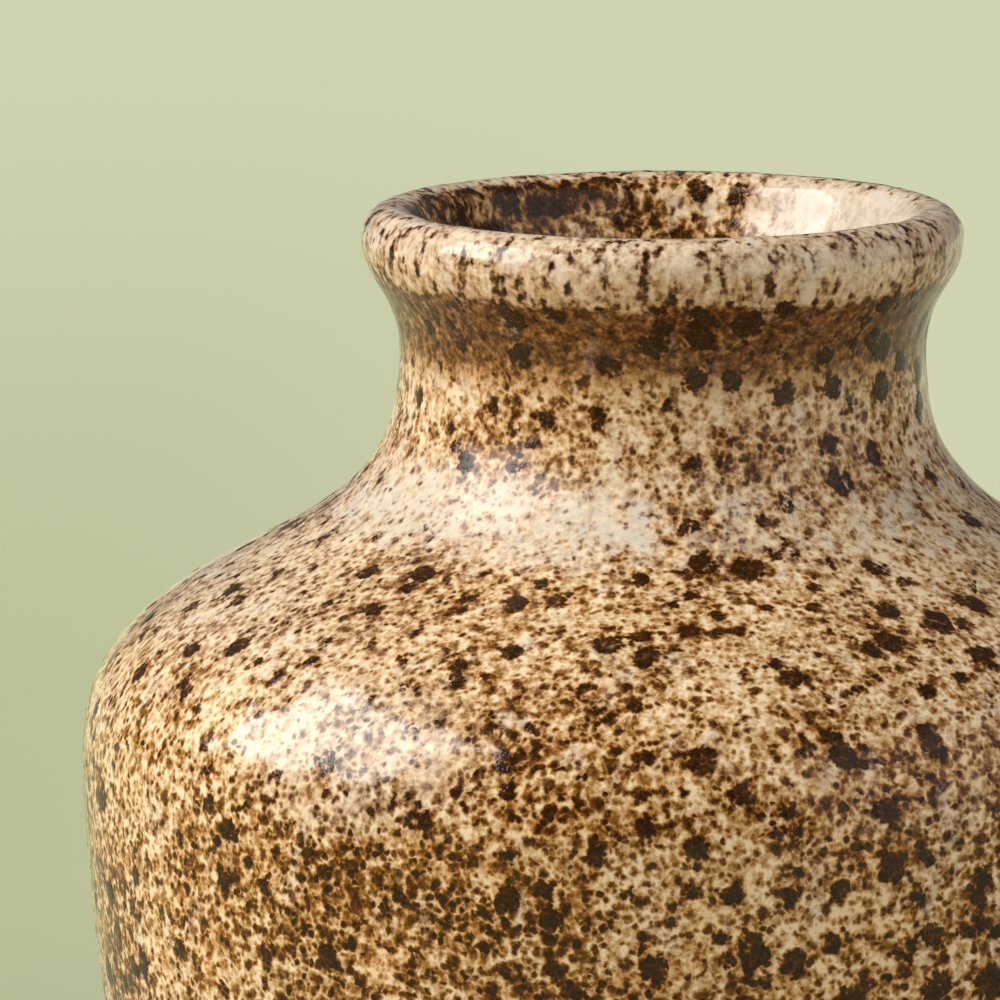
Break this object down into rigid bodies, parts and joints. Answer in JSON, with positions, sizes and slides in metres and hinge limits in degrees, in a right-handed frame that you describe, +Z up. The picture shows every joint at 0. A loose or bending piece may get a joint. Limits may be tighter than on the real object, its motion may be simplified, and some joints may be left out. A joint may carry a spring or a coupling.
{
  "type": "bud vase",
  "caption": "Small stoneware bud vase: body tapering to a bare foot ring, soft shoulder, short waisted neck and rolled lip, under a speckled brown and cream glaze.",
  "frame": {"origin": "centre of the foot ring, on the plane the vase stands on", "axes": "+Z up along the axis the vase is turned about; -Y faces the viewer"},
  "size_m": [0.0922, 0.0922, 0.12],
  "materials": {
    "stoneware": "bare fired clay, matte and slightly gritty",
    "slip": "fired joining slip, matte",
    "speckled_glaze": "glossy reactive glaze, cream and amber with dark brown specks",
    "liner_glaze": "glossy brown liner glaze"
  },
  "bodies": {
    "root": {"pot": "stoneware", "luting_slip": "slip", "neck_collar": "stoneware", "outer_glaze": "speckled_glaze", "liner_glaze": "liner_glaze"}
  },
  "joints": []
}
